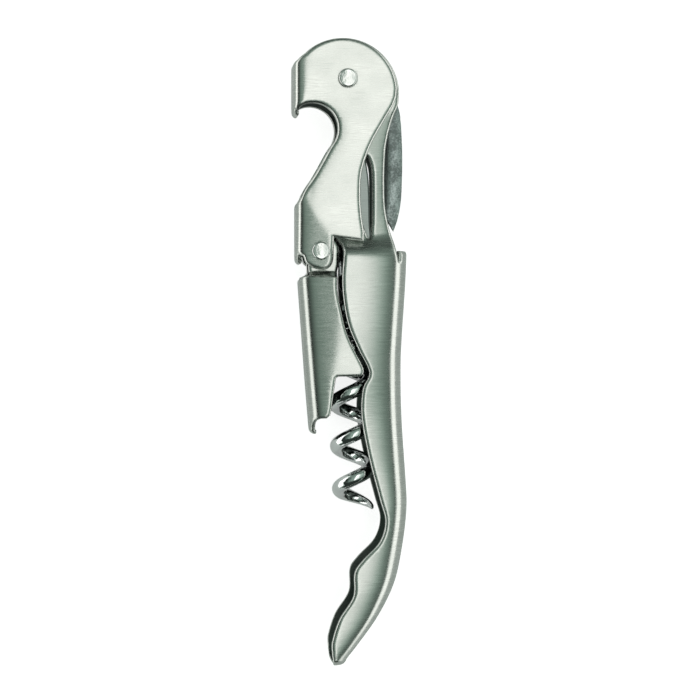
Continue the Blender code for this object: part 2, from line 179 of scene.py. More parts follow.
def prism(bm, outline, low, high):
    """Add a closed prism over the outline, between two heights, and return its faces."""
    bottom = [bm.verts.new((x, y, low)) for x, y in outline]
    top = [bm.verts.new((x, y, high)) for x, y in outline]
    faces = [bm.faces.new(bottom), bm.faces.new(top)]
    for i in range(len(outline)):
        j = (i + 1) % len(outline)
        faces.append(bm.faces.new((bottom[i], bottom[j], top[j], top[i])))
    bmesh.ops.recalc_face_normals(bm, faces=faces)
    return faces


def turned(bm, centre, profile, sides=64):
    """Add a closed solid of revolution about z, from a closed profile of (radius, z) points."""
    rings = []
    for i in range(sides):
        a = 2 * math.pi * i / sides
        rings.append([bm.verts.new((centre[0] + r * math.cos(a), centre[1] + r * math.sin(a), z))
                      for r, z in profile])
    for i in range(sides):
        here = rings[i]
        there = rings[(i + 1) % sides]
        for k in range(len(profile)):
            m = (k + 1) % len(profile)
            bm.faces.new((here[k], there[k], there[m], here[m]))
    bmesh.ops.remove_doubles(bm, verts=bm.verts, dist=1e-5)


def rounded(corners, radius, steps=4):
    """A closed (radius, z) profile whose outer corners, given with True, are rounded."""
    profile = []
    count = len(corners)
    for i, (r, z, soft) in enumerate(corners):
        if not soft:
            profile.append((r, z))
            continue
        here = Vector((r, z))
        before = (Vector(corners[i - 1][:2]) - here).normalized() * radius
        after = (Vector(corners[(i + 1) % count][:2]) - here).normalized() * radius
        centre = here + before + after
        for k in range(steps + 1):
            t = math.pi / 2 * k / steps
            q = centre - after * math.cos(t) - before * math.sin(t)
            profile.append((q.x, q.y))
    return profile


def cut_at(bm, normal, position, clear=False):
    """Cut every face along a plane, and drop what lies beyond it if asked."""
    bmesh.ops.bisect_plane(bm, geom=bm.verts[:] + bm.edges[:] + bm.faces[:], dist=1e-6,
                           plane_co=Vector(normal) * position, plane_no=normal, clear_outer=clear)


def evaluated(bm, cutters):
    """The mesh with the cutters, which are meshes too, cut out of it."""
    body = bpy.data.objects.new("plate", bpy.data.meshes.new("plate"))
    bm.to_mesh(body.data)
    bpy.context.scene.collection.objects.link(body)
    made = [body]
    for cutter in cutters:
        tool = bpy.data.objects.new("tool", bpy.data.meshes.new("tool"))
        cutter.to_mesh(tool.data)
        bpy.context.scene.collection.objects.link(tool)
        cut = body.modifiers.new("cut", "BOOLEAN")
        cut.operation = "DIFFERENCE"
        cut.object = tool
        made.append(tool)
    bpy.context.view_layer.update()
    mesh = bpy.data.meshes.new_from_object(body.evaluated_get(bpy.context.evaluated_depsgraph_get()))
    result = bmesh.new()
    result.from_mesh(mesh)
    for old in made:
        bpy.data.objects.remove(old, do_unlink=True)
    return result


def rims_at(bm, height, limit, bores):
    """The edges between the flat face at the height and the walls: those round the bores, and the others."""
    outer = []
    round_bores = []
    for edge in bm.edges:
        if len(edge.link_faces) != 2 or any(abs(v.co.z - height) > 1e-4 for v in edge.verts):
            continue
        flat = [f for f in edge.link_faces if abs(f.normal.z) > 0.9]
        if len(flat) != 1 or min(v.co.x for v in edge.verts) > limit:
            continue
        place = edge.verts[0].co
        near = any(math.hypot(place.x - c[0], place.y - c[1]) < r + BORE_REACH for c, r, _ in bores)
        (round_bores if near else outer).append(edge)
    return outer, round_bores


def ease(bm, edges, radius, segments):
    """Round the edges."""
    bmesh.ops.bevel(bm, geom=edges, offset=radius, offset_type="OFFSET", segments=segments, profile=0.5,
                    affect="EDGES", clamp_overlap=False)


def round_rims(bm, height, radius, segments, limit, bores=()):
    """Round the rims of the flat face at the height, and those of its bores by their own radii.

    Each bore is (centre, radius, rounding). Edges wholly past the limit stay sharp.
    """
    outer, _ = rims_at(bm, height, limit, bores)
    ease(bm, outer, radius, segments)
    for bore in bores:
        _, edges = rims_at(bm, height, limit, [bore])
        ease(bm, edges, bore[2], 4)


def flatten_rims(bm, width, depth, thickness):
    """Turn round rims of the given width into wide shallow ones, as a punch leaves them."""
    for v in bm.verts:
        z = v.co.z
        if z > -width:
            v.co.z = z * depth / width
        else:
            v.co.z = -depth + (z + width) * (thickness - depth) / (thickness - width)


class Fold:
    """How a flat pattern bends into a channel.

    The pattern's s runs across the sheet: below 0 it is the wall, then the corner and the web, down to the
    plane of symmetry at s = middle. side is +1 with the web on the right and -1 on the left. at(s, y)
    returns the outer face's point, and thin(y) the part of the sheet's thickness that is left.
    """

    def __init__(self, at, middle, side, thin=lambda y: 1.0):
        self.at = at
        self.middle = middle
        self.side = side
        self.thin = thin

    def normal(self, s, y):
        """Outward normal of the outer face, from the surface's own slopes."""
        e = 0.01
        across = self.at(s + e, y) - self.at(s - e, y)
        along = self.at(s, y + e) - self.at(s, y - e)
        return across.cross(along).normalized() * self.side

    def place(self, s, y, depth):
        """Point in space of the plate's point at a depth under the outer face."""
        return self.at(s, y) - self.normal(s, y) * depth * self.thin(y)


def bent_sheet(name, outline, fold, thickness, rim, s_cuts, y_cuts, mats, bores=(), windows=()):
    """A sheet bent from a flat plate.

    The outline, in (s, y), is half of the pattern and runs past the middle. rim is the width and depth of
    the rolled outer rims. mats are the materials of the outside and of the inside. bores are (centre,
    radius, rounding) and windows are closed outlines, both cut through the sheet.
    """
    bm = bmesh.new()
    prism(bm, outline, -thickness, 0)
    tools = []
    for points in [arc(c, r, 0, 360, 48)[:-1] for c, r, _ in bores] + list(windows):
        tool = bmesh.new()
        prism(tool, points, -thickness - 1, 1)
        tools.append(tool)
    if tools:
        bm = evaluated(bm, tools)
    round_rims(bm, 0, rim[0], 8, fold.middle, bores)
    round_rims(bm, -thickness, INNER_RIM, 2, fold.middle)
    flatten_rims(bm, *rim, thickness)
    cut_at(bm, (1, 0, 0), fold.middle, clear=True)
    for s in s_cuts:
        cut_at(bm, (1, 0, 0), s)
    for y in y_cuts:
        cut_at(bm, (0, 1, 0), y)
    bmesh.ops.dissolve_degenerate(bm, dist=1e-3, edges=bm.edges[:])
    layer = bm.loops.layers.uv.new("pattern")
    for face in bm.faces:
        for loop in face.loops:
            s, y, z = loop.vert.co
            loop[layer].uv = ((s + z) * MM, (y + z) * MM)
    # The inner flat faces take the second material, whose dark colour is painted shade.
    for face in bm.faces:
        if min(v.co.z for v in face.verts) < -thickness + 1e-4 and abs(face.normal.z) > 0.99:
            face.material_index = 1
    for v in bm.verts:
        at_middle = abs(v.co.x - fold.middle) < 1e-5
        v.co = fold.place(v.co.x, v.co.y, -v.co.z)
        if at_middle:
            v.co.z = 0
    copy = bmesh.ops.duplicate(bm, geom=bm.verts[:] + bm.edges[:] + bm.faces[:])["geom"]
    for item in copy:
        if isinstance(item, bmesh.types.BMVert):
            item.co.z = -item.co.z
    bmesh.ops.reverse_faces(bm, faces=[f for f in copy if isinstance(f, bmesh.types.BMFace)])
    seam = [v for v in bm.verts if abs(v.co.z) < 1e-6]
    bmesh.ops.remove_doubles(bm, verts=seam, dist=1e-4)
    return to_object(name, bm, *mats)


def channel(s, side, spine, half, radius, middle, lean, reach):
    """x and z of a channel's outer face: a wall that leans over gently, a round corner and a web.

    lean is the wall's slope in radians where the corner starts, and reach is how far into the wall the
    lean fades.
    """
    start = spine - side * radius * (1 - math.sin(lean))
    drop = math.tan(lean) * reach
    if s <= 0:
        return start + side * s, half - drop * math.exp(s / reach)
    top = half - drop
    corner = radius * (math.pi / 2 - lean)
    if s < corner:
        a = lean + s / radius
        across = radius * (math.sin(a) - math.sin(lean))
        return start + side * across, top - radius * (math.cos(lean) - math.cos(a))
    foot = top - radius * math.cos(lean)
    return spine, foot * (middle - s) / (middle - corner)


def flat_s(at, side, x, y, high):
    """The pattern's s of the point of the outer face at a plan position."""
    low = -45.0
    for _ in range(50):
        s = (low + high) / 2
        if side * (at(s, y).x - x) < 0:
            low = s
        else:
            high = s
    return (low + high) / 2


def pattern(fold, outline, limit):
    """A plan outline, in (x, y), as a flat pattern in (s, y)."""
    return [(flat_s(fold.at, fold.side, x, y, limit), y) for x, y in outline]


# ---------------------------------------------------------------- handle and neck

HANDLE_R = 4.4           # radius of the handle's rounded back
HANDLE_TIP_R = 2.7
HANDLE_RIM = (0.8, 0.45)         # width and depth of the rolled rims
HANDLE_LEAN = math.radians(21)
# How far into the wall the lean fades, as (reach, y) along the handle
HANDLE_REACH = [(2.6, 6.0), (3.4, -8.0), (2.4, -14.0), (2.0, -19.0), (1.3, -24.0), (0.85, -29.0),
                (0.95, -34.0), (1.7, -40.0), (2.0, -48.0), (1.5, -58.0)]
HANDLE_MIDDLE = 6.1
SPINE_TOP = 19.4         # where the handle's back ends
JOGGLE_LOW = 17.4        # the walls step inward from here...
JOGGLE_HIGH = 22.0       # ...to here at the left...
JOGGLE_SPREAD = (0.8, 1.2)       # ...and over this much more below and above at the right
JOGGLE_POWER = 1.6       # above 1 the step starts more softly than it ends
TIP_Y = -60.0
NOSE_TOP = -58.4         # below this the channel closes to a rounded nose
NOSE_X = -1.85           # the nose's axis at its top
NOSE_DRIFT = -0.3        # how far the axis moves per millimetre down
NOSE_POWER = 0.5         # 0.5 gives an elliptic nose, and more a pointed one
NOSE_SLIT = 0.1          # what is left of the section at the very tip
NOSE_SHEET = 1.2         # the nose's sheet thins to this times what is left of its section, at most 1
NECK_LEAN = math.tan(math.radians(7.0))
NECK_LEAN_X = 2.2        # the neck's walls lean inwards to the right of here
NECK_ROLL = 0.35         # depth of the roll along the neck's right edge...
NECK_ROLL_REACH = 0.45   # ...and how far it reaches
SLIT_S = 1.45            # the relief slit between the neck and the end of the back...
SLIT_END = 17.6          # ...and where it ends
SLIT_OFFSET = 0.04       # from there to the slit's middle...
SLIT_R = 0.06            # ...and its half width

HANDLE_SPINE = through([(11.3, 19.4), (11.02, 12.8), (10.35, 2.55), (10.16, -3.54), (10.35, -13.1),
                        (10.95, -22.7), (11.22, -29.6), (10.36, -37.3), (8.83, -44.1), (5.7, -50.3),
                        (1.75, -55.7), (-0.1, -58.0), (-1.5, -60.0)])

HANDLE_OPEN = through([(-1.09, 19.43), (-1.44, 12.8), (-0.48, 5.95), (1.57, 0.84), (3.4, -2.6),
                       (3.73, -4.42), (2.55, -6.99), (2.28, -12.12), (3.66, -19.81), (5.74, -27.85),
                       (6.85, -32.12), (5.74, -36.04), (2.49, -39.47), (0.9, -41.9), (0.69, -46.34),
                       (-1.95, -50.61), (-3.33, -54.87), (-3.3, -57.0), (-3.2, -57.8), (-3.05, -58.4)], 8)

NECK_RIGHT = through([(9.26, 19.47), (8.75, 21.5), (7.95, 24.1), (7.25, 28.0), (7.1, 33.0), (7.3, 38.4),
                      (7.7, 41.06), (8.15, 42.9), (8.75, 44.9), (9.5, 47.6)], 8)

NECK_LEFT = through([(-8.05, 52.2), (-7.2, 49.4), (-4.6, 47.9), (-2.2, 45.6), (-1.5, 42.0), (-1.7, 37.0),
                     (-2.2, 31.0), (-3.3, 27.0), (-3.7, 24.4), (-3.0, 22.4), (-1.6, 21.0),
                     (-1.09, 19.43)], 8)

NECK_HEAD_CENTRE = (-1.05, 49.3)
NECK_HEAD_R = 10.7
NECK_CROWN_R = 7.75

NECK_EDGE = list(reversed(NECK_RIGHT))

WINDOW = [(4.3, 22.4), (4.5, 26.0), (4.5, 33.0), (4.25, 35.8), (3.4, 37.6), (2.3, 36.6), (1.5, 33.0),
          (1.7, 28.0), (2.7, 24.6), (3.75, 22.0)]


def neck_dip(x, y):
    """How far the neck's face dips: it leans inwards to the right, and rolls over along its edge."""
    lean = NECK_LEAN * soft_positive(x - NECK_LEAN_X, 0.6) * (1 - ramp(y, 43, 47))
    edge = max(follow(NECK_EDGE, y) - x, 0.0)
    return lean + NECK_ROLL * math.exp(-edge / NECK_ROLL_REACH) * (1 - ramp(y, 44.5, 47))


def nose_size(y):
    """How much of the section is left along the nose."""
    way = min(max((NOSE_TOP - y) / (NOSE_TOP - TIP_Y), 0.0), 1.0)
    return max((1 - way * way) ** NOSE_POWER, NOSE_SLIT)


def handle_face(s, y):
    """The outer face of the handle and the neck."""
    section = max(y, NOSE_TOP)
    radius = HANDLE_R + (HANDLE_TIP_R - HANDLE_R) * ramp(-section, 40, 60)
    reach = follow(HANDLE_REACH, section)
    spine = follow(HANDLE_SPINE, section)
    x, z = channel(s, 1, spine, HANDLE_HALF, radius, HANDLE_MIDDLE, HANDLE_LEAN, reach)
    if y < NOSE_TOP:
        size = nose_size(y)
        axis = NOSE_X + NOSE_DRIFT * (NOSE_TOP - y)
        return Vector((axis + (x - NOSE_X) * size, y, z * size))
    if s > SLIT_S or y < JOGGLE_LOW - JOGGLE_SPREAD[0]:
        return Vector((x, y, z))
    right = ramp(x, 1.0, 7.0)
    step = ramp(y, JOGGLE_LOW - right * JOGGLE_SPREAD[0], JOGGLE_HIGH + right * JOGGLE_SPREAD[1])
    step = step ** JOGGLE_POWER
    x += (spine - radius * (1 - math.sin(HANDLE_LEAN)) + s - x) * step
    return Vector((x, y, z + (NECK_HALF - neck_dip(x, y) - z) * step))


def handle_channel(steel):
    """The handle's channel and the two neck walls, one folded sheet, which is thinned along the nose."""
    fold = Fold(handle_face, HANDLE_MIDDLE, 1, lambda y: min(1.0, NOSE_SHEET * nose_size(y)))
    past = HANDLE_MIDDLE + 1
    web = [(past, TIP_Y), (past, SPINE_TOP)]
    slit_middle = SLIT_S + SLIT_OFFSET
    relief = [(slit_middle + SLIT_R, SPINE_TOP)] + arc((slit_middle, SLIT_END), SLIT_R, 0, -180, 6)
    head = arc(NECK_HEAD_CENTRE, NECK_HEAD_R, 2, 88, 48) + arc(MAIN_PIVOT, NECK_CROWN_R, 100, 176, 30)
    plan = NECK_RIGHT[1:] + head + NECK_LEFT[:-1] + HANDLE_OPEN
    outline = web + relief + pattern(fold, plan, SLIT_S - 0.02)
    outline.append((outline[-1][0], TIP_Y))
    window = pattern(fold, through(WINDOW + WINDOW[:1], 6)[:-1], SLIT_S)
    bores = [((flat_s(handle_face, 1, *MAIN_PIVOT, SLIT_S), MAIN_PIVOT[1]), RIVET_R + HOLE_CLEARANCE,
              BORE_RIM)]
    s_cuts = steps_between(-13, 0, 0.6) + steps_between(0, HANDLE_MIDDLE, 0.3)[1:-1]
    y_cuts = [-59.97, -59.93, -59.85, -59.7, -59.5, -59.2, -58.9, -58.6, -58.4, -57.8]
    y_cuts += steps_between(-57, 16, 1.0) + steps_between(16.5, 23, 0.25) + steps_between(24, 47, 1.0)
    return bent_sheet("handle_sheet", outline, fold, SHEET, HANDLE_RIM, s_cuts, y_cuts, steel, bores,
                      [window])


# ---------------------------------------------------------------- upper lever

UPPER_R = 1.65
UPPER_RIM = (0.86, 0.6)
UPPER_LEAN = math.radians(22)
UPPER_REACH = 0.6
HOOK_SPINE_X = -10.6
UPPER_SPINE_X = -10.05
HOOK_TOP = 55.4
HOOK_END = 45.0
WEB_TOP = 28.7
UPPER_TOE_END = 16.75
CAP_CENTRE = (-7.08, 42.6)
CAP_R = 4.79
HEAD_CENTRE = (-1.2, 49.42)
HEAD_R = 10.42
EAR_TOP = (-9.3, 30.0)       # the lever's ear dips below a line from here...
EAR_END = (-3.0, 21.5)       # ...to here
EAR_SLOPE = math.tan(math.radians(6.2))
LIP_DEPTH = 0.16             # the slightly turned-down rim of the cap lifter and of the slant below it
LIP_REACH = 1.5
UPPER_MIDDLE = 6.6
UPPER_CURL_R = 1.15          # outer radius of the web's curled ends, at the hook and at the toe
CURL_TURN = math.radians(88)


def side_of_line(x, y, start, end):
    """Distance of a point from a line, positive on the line's right when it runs from start to end."""
    along = Vector((end[0] - start[0], end[1] - start[1])).normalized()
    return (x - start[0]) * along.y - (y - start[1]) * along.x


def soft_positive(value, blur):
    """The value where it is positive, else 0, with a smooth corner."""
    return 0.5 * (value + math.sqrt(value * value + blur * blur))


CAP_END = arc(CAP_CENTRE, CAP_R, -36.5, -36.5, 1)[0]
SLANT_END = (-9.2, 28.95)


def lever_dip(x, y):
    """How far the upper lever's face dips: at its ear, and along the cap lifter's rim and the slant."""
    ear = EAR_SLOPE * soft_positive(side_of_line(x, y, EAR_TOP, EAR_END), 0.5)
    from_cap = math.hypot(x - CAP_CENTRE[0], y - CAP_CENTRE[1]) - CAP_R
    from_slant = side_of_line(x, y, SLANT_END, CAP_END)
    blend = ramp(y, CAP_END[1] - 1.2, CAP_END[1] + 1.2)
    distance = max(from_slant + (from_cap - from_slant) * blend, 0.0)
    return ear + LIP_DEPTH * math.exp(-distance / LIP_REACH) * ramp(y, 24, 29) * ramp(x, -9.5, -7.0)


def upper_spine(y):
    """The web steps from the hook to the lever's lower part, where there is no web between them."""
    return UPPER_SPINE_X + (HOOK_SPINE_X - UPPER_SPINE_X) * ramp(y, 33, 40)


def curled(point, weight, end, radius):
    """Roll a point of the web towards +x, where it lies less than one turn above the web's end.

    weight is 1 on the web and falls to 0 on the wall. end is the y that the curl's outside reaches.
    """
    start = end + radius * math.sin(CURL_TURN)
    if point.y >= start or weight <= 0:
        return point
    turn = (start - point.y) / radius
    rolled = Vector((point.x + radius * (1 - math.cos(turn)), start - radius * math.sin(turn), point.z))
    return point.lerp(rolled, weight)


def curl_end(end, radius):
    """The pattern's y at which a curled web that reaches the given y ends."""
    return end + radius * (math.sin(CURL_TURN) - CURL_TURN)


def upper_face(s, y):
    """The upper lever's outer face."""
    x, z = channel(s, -1, upper_spine(y), UPPER_HALF, UPPER_R, UPPER_MIDDLE, UPPER_LEAN, UPPER_REACH)
    point = Vector((x, y, z * (1 - lever_dip(x, y) / UPPER_HALF)))
    end = HOOK_END if y > 35 else UPPER_TOE_END
    return curled(point, ramp(s, 0.5, 2.2), end, UPPER_CURL_R)


def upper_lever(steel):
    """The lever with the round head, the cap-lifter hook and the first rim toe."""
    fold = Fold(upper_face, UPPER_MIDDLE, -1)
    past = UPPER_MIDDLE + 1
    corner = UPPER_R * (math.pi / 2 - UPPER_LEAN)
    head = pattern(fold, arc(HEAD_CENTRE, HEAD_R, 5, 134, 72), UPPER_MIDDLE)
    hook_end = curl_end(HOOK_END, UPPER_CURL_R)
    toe_end = curl_end(UPPER_TOE_END, UPPER_CURL_R)
    hook = [(0.6, 55.75), (corner - 0.3, HOOK_TOP), (past, HOOK_TOP), (past, hook_end),
            (corner + 0.6, hook_end), (corner + 0.2, 45.6), (corner - 0.2, 46.2)]
    cap = pattern(fold, arc(CAP_CENTRE, CAP_R, 132, -36.5, 64), UPPER_MIDDLE)
    slant = [(0.5, WEB_TOP + 0.7), (1.1, WEB_TOP + 0.2)]
    web = [(corner, WEB_TOP - 0.1), (corner + 1.5, WEB_TOP - 0.7), (past, WEB_TOP - 0.9), (past, toe_end),
           (corner + 0.6, toe_end), (corner + 0.1, 17.4), (corner - 0.5, 18.1), (0.8, 18.5)]
    ear = pattern(fold, through([(-8.95, 18.3), (-8.3, 17.0), (-6.7, 16.05), (-4.9, 15.75), (-3.7, 16.3),
                                 (-3.1, 17.6), (-3.02, 19.6), (-2.9, 21.88)], 8), UPPER_MIDDLE)
    right = through([(2.87, 22.87), (2.39, 26.13), (2.16, 30.22), (2.49, 34.74), (4.19, 39.66), (6.85, 44.46),
                     (8.3, 46.9), (9.0, 48.6)], 8)
    edge = pattern(fold, [(2.78, 21.19)] + right, UPPER_MIDDLE)
    bores = [((flat_s(upper_face, -1, x, y, UPPER_MIDDLE), y), RIVET_R + HOLE_CLEARANCE, rim)
             for (x, y), rim in ((MAIN_PIVOT, BORE_RIM), (LEVER_PIVOT, EAR_BORE_RIM))]
    s_cuts = steps_between(-19.5, -3, 0.6) + steps_between(-3, 3, 0.25)[1:] + [3.8, 4.6, 5.6]
    y_cuts = steps_between(16.3, 18.3, 0.2) + steps_between(18.7, 44.3, 0.4) + steps_between(44.6, 46.8, 0.2)
    y_cuts += steps_between(47, 59, 1)
    outline = head + hook + cap + slant + web + ear + edge
    return bent_sheet("upper_lever_sheet", outline, fold, SHEET, UPPER_RIM, s_cuts, y_cuts, steel, bores)


# ---------------------------------------------------------------- lower lever

LOWER_R = 2.65
LOWER_RIM = (0.7, 0.42)
LOWER_LEAN = math.radians(22)
LOWER_REACH = 0.7
LOWER_MIDDLE = 5.3
LOWER_WEB_TOP = 14.0
LOWER_TOE_END = -15.66
SHOULDER_LOW = 14.2      # the walls step inward from here...
SHOULDER_HIGH = 15.6     # ...to here, and go on as the tongue
TONGUE_CENTRE = (-5.1, 19.33)
TONGUE_R = 3.28
WALL_SLOPE = math.tan(math.radians(6.0))
LOWER_CURL_R = 1.05      # outer radius of the toe's curled end

LOWER_SPINE = [(-9.55, 14.5), (-8.85, 5.0), (-8.08, -5.5), (-7.2, -16.0)]

# Left of this line the wall slopes down towards its web
CREASE = through([(-1.7, 16.0), (-1.9, 12.0), (-1.86, 6.0), (-2.5, -0.3), (-3.45, -5.1), (-3.9, -10.0),
                  (-4.2, -16.0)], 4)


def lower_face(s, y):
    """The lower lever's outer face."""
    spine = follow(LOWER_SPINE, y)
    x, z = channel(s, -1, spine, LOWER_HALF, LOWER_R, LOWER_MIDDLE, LOWER_LEAN, LOWER_REACH)
    dip = WALL_SLOPE * soft_positive(follow(CREASE, y) - x, 0.9)
    z *= 1 - dip / LOWER_HALF
    step = ramp(y, SHOULDER_LOW, SHOULDER_HIGH)
    flat_x = spine + LOWER_R * (1 - math.sin(LOWER_LEAN)) - s
    point = Vector((x + (flat_x - x) * step, y, z + (TONGUE_HALF - z) * step))
    return curled(point, ramp(s, 1.2, 2.8), LOWER_TOE_END, LOWER_CURL_R)


def lower_lever(steel):
    """The second lever: a channel with a tongue at the top, a rim step and a toe at the bottom."""
    fold = Fold(lower_face, LOWER_MIDDLE, -1)
    past = LOWER_MIDDLE + 1
    tongue = pattern(fold, arc(TONGUE_CENTRE, TONGUE_R, -8, 213, 60) + [(-7.75, 16.6), (-7.7, 15.5)], 3)
    toe_end = curl_end(LOWER_TOE_END, LOWER_CURL_R)
    web = [(0.35, 14.95), (1.1, 14.75), (1.8, 14.4), (2.4, LOWER_WEB_TOP), (past, LOWER_WEB_TOP),
           (past, toe_end)]
    toe = [(3.3, toe_end), (2.8, -15.0), (2.5, -14.3), (1.8, -13.5), (0.9, -12.9)]
    step = pattern(fold, [(-5.57, -12.56), (-4.4, -12.5), (-3.71, -11.89), (-3.39, -10.62), (-3.0, -7.5),
                          (-2.62, -4.94), (-2.2, -4.56), (2.16, -4.5), (2.6, -4.1), (2.74, -3.6),
                          (2.66, -2.91)], 3)
    edge = pattern(fold, through([(1.74, -1.05), (0.36, 1.68), (-0.65, 4.25), (-1.51, 7.68), (-2.3, 11.5),
                                  (-2.3, 14.6), (-1.91, 16.88)], 8), 3)
    bores = [((flat_s(lower_face, -1, *LEVER_PIVOT, 3), LEVER_PIVOT[1]), RIVET_R + HOLE_CLEARANCE,
              BORE_RIM)]
    s_cuts = steps_between(-12, 0, 0.5) + steps_between(0, LOWER_MIDDLE, 0.25)[1:-1]
    y_cuts = steps_between(-15.9, -14.5, 0.2) + steps_between(-14, 13, 0.9) + steps_between(13.5, 16, 0.2)
    outline = tongue + web + toe + step + edge
    return bent_sheet("lower_lever_sheet", outline, fold, LOWER_SHEET, LOWER_RIM, s_cuts, y_cuts, steel, bores)


# ---------------------------------------------------------------- rivets and pins

RIVET_TOP = 6.3
RIVET_HEAD_R = 1.75
COLLAR_RIM = 0.15
COLLAR_GAP = 0.25        # between a collar's end and what it spaces
KNIFE_COLLAR_R = 3.4
LEVER_COLLAR_R = 2.2


def rivet(name, centre, seat, dome, ease_r, steel):
    """A rivet with a low dome on each side, and the dome's edge rounded over."""
    edge = RIVET_TOP - dome - ease_r
    half = [(RIVET_R, seat), (RIVET_HEAD_R - 0.04, seat), (RIVET_HEAD_R, seat + 0.06)]
    for i in range(9):
        a = math.pi / 2 * i / 8
        half.append((RIVET_HEAD_R - ease_r * (1 - math.cos(a)), edge + ease_r * math.sin(a)))
    flat = RIVET_HEAD_R - ease_r
    for i in range(1, 11):
        r = flat * (1 - i / 10)
        half.append((r, RIVET_TOP - dome * (r / flat) ** 2))
    bm = bmesh.new()
    turned(bm, centre, [(r, -z) for r, z in reversed(half)] + half)
    return to_object(name, bm, steel, sharp=60)


def collar(name, centre, inner, outer, low, high, steel):
    """A turned ring round a pin, with eased edges."""
    corners = [(inner, low, True), (outer, low, True), (outer, high, True), (inner, high, True)]
    bm = bmesh.new()
    turned(bm, centre, rounded(corners, COLLAR_RIM))
    return to_object(name, bm, steel)


def worm_pin(steel):
    """The pin that the worm folds on, with riveted ends."""
    end = NECK_HALF
    half = [(WORM_PIN_R, end - 0.3), (1.1, end - 0.1), (0.8, end - 0.02), (0.35, end - 0.05), (0, end - 0.08)]
    bm = bmesh.new()
    turned(bm, WORM_PIVOT, [(r, -z) for r, z in reversed(half)] + half)
    return to_object("worm_pin_turned", bm, steel)


# ---------------------------------------------------------------- knife and spring

BLADE_HALF = 0.5
BLADE_RIM = 0.2
TANG_R = 4.5
EVERYWHERE = 99.0        # a limit that leaves no rim out
SPRING_HALF = 2.45
SPRING_RIM = 0.35
FORK_HALF = 1.85         # half width of the slot that takes the worm's eye
WORM_EYE_HALF = 1.6
WORM_EYE_R = 2.35


def knife_blade(steel):
    """The foil knife: a round tang on the main rivet and a hollow-ground blade that tapers to its tip."""
    back = through([(8.85, 23.2), (9.73, 25.84), (10.35, 29.5), (10.58, 35.7), (10.47, 41.44), (9.9, 46.8),
                    (7.6, 51.2), (4.2, 54.6)], 8)
    tang = arc(MAIN_PIVOT, TANG_R, 48, 262, 40)
    edge = through([(1.6, 46.6), (3.5, 43.6), (4.8, 38.0), (5.5, 32.0), (6.6, 27.0)], 8)
    plate = bmesh.new()
    prism(plate, back + tang + edge, -BLADE_HALF, BLADE_HALF)
    bore = bmesh.new()
    prism(bore, arc(MAIN_PIVOT, RIVET_R + HOLE_CLEARANCE, 0, 360, 48)[:-1], -2, 2)
    bm = evaluated(plate, [bore])
    for height in (BLADE_HALF, -BLADE_HALF):
        round_rims(bm, height, BLADE_RIM, 4, EVERYWHERE)
    for y in steps_between(23, 46, 0.5):
        cut_at(bm, (0, 1, 0), y)
    for x in steps_between(1.5, 10.5, 0.4):
        cut_at(bm, (1, 0, 0), x)
    spine = list(reversed(back))
    for v in bm.verts:
        depth = follow(spine, v.co.y) - v.co.x
        ground = ramp(depth, 2.2, 3.9) * ramp(45.5 - v.co.y, 0, 3)
        eased = 0.4 * (1 - ramp(depth, -0.6, 1.6)) * ramp(50 - v.co.y, 0, 3)
        v.co.z *= 1 - max(0.85 * ground, eased)
    return to_object("knife_ground", bm, steel)


def back_spring(steel):
    """The leaf spring that runs up the neck from the worm's pin to the knife's tang, forked round the pin."""
    outer = through([(4.4, 22.0), (4.15, 25.0), (4.05, 30.0), (3.8, 34.0), (3.1, 38.0), (1.9, 42.6),
                     (-0.4, 46.9)], 8)
    inner = through([(-1.3, 46.4), (0.6, 42.2), (1.2, 37.6), (1.1, 33.0), (1.1, 28.0)], 10)
    ear = arc(WORM_PIVOT, WORM_EYE_R, 75, 300, 36) + [(1.2, 21.5), (4.4, 21.4)]
    slot = bmesh.new()
    prism(slot, [(-4, 20), (4, 20), (4, 28.6), (-4, 28.6)], -FORK_HALF, FORK_HALF)
    bore = bmesh.new()
    prism(bore, arc(WORM_PIVOT, WORM_PIN_R + HOLE_CLEARANCE, 0, 360, 48)[:-1], -5, 5)
    plate = bmesh.new()
    prism(plate, ear + outer + inner + [(0.9, 27.6)], -SPRING_HALF, SPRING_HALF)
    bm = evaluated(plate, [slot, bore])
    for height in (SPRING_HALF, -SPRING_HALF):
        round_rims(bm, height, SPRING_RIM, 4, EVERYWHERE)
    return to_object("back_spring_leaf", bm, steel)


# ---------------------------------------------------------------- worm

WORM_TILT = 2.6
WORM_PITCH = 8.2
WORM_R = 3.1
WIRE_R = 1.35
WORM_TIP_Y = -30.15
WORM_LEFT_Y = -17.76     # where a turn passes the worm's left side
SHANK_START = 1.4        # the straight shank's ends, from the pin along the worm
SHANK_END = 11.5
SHANK_STEP = 1.2
TAPER_LENGTH = 3.2
TAPER_POWER = 0.6
TIP_SHARE = 0.1          # of the wire's radius, left at the tip
WORM_STEPS = 340
WIRE_SIDES = 28


def worm_path():
    """Centre line of the wire, from the pin down: (point, wire radius), axis along -y from the pin."""
    left_turn = WORM_PIVOT[1] - WORM_LEFT_Y
    length = WORM_PIVOT[1] - WORM_TIP_Y
    path = [(Vector((0, -SHANK_START - SHANK_STEP * i, 0)), WIRE_R) for i in range(8)]
    for i in range(WORM_STEPS + 1):
        depth = SHANK_END + (length - SHANK_END) * i / WORM_STEPS
        phase = -2 * math.pi * (depth - left_turn) / WORM_PITCH - math.pi / 2
        radius = WORM_R * ramp(depth, SHANK_END - 1.5, SHANK_END + 4.5)
        taper = min((length - depth) / TAPER_LENGTH, 1.0) ** TAPER_POWER
        wire = WIRE_R * (TIP_SHARE + (1 - TIP_SHARE) * taper)
        path.append((Vector((radius * math.sin(phase), -depth, radius * math.cos(phase))), wire))
    return path


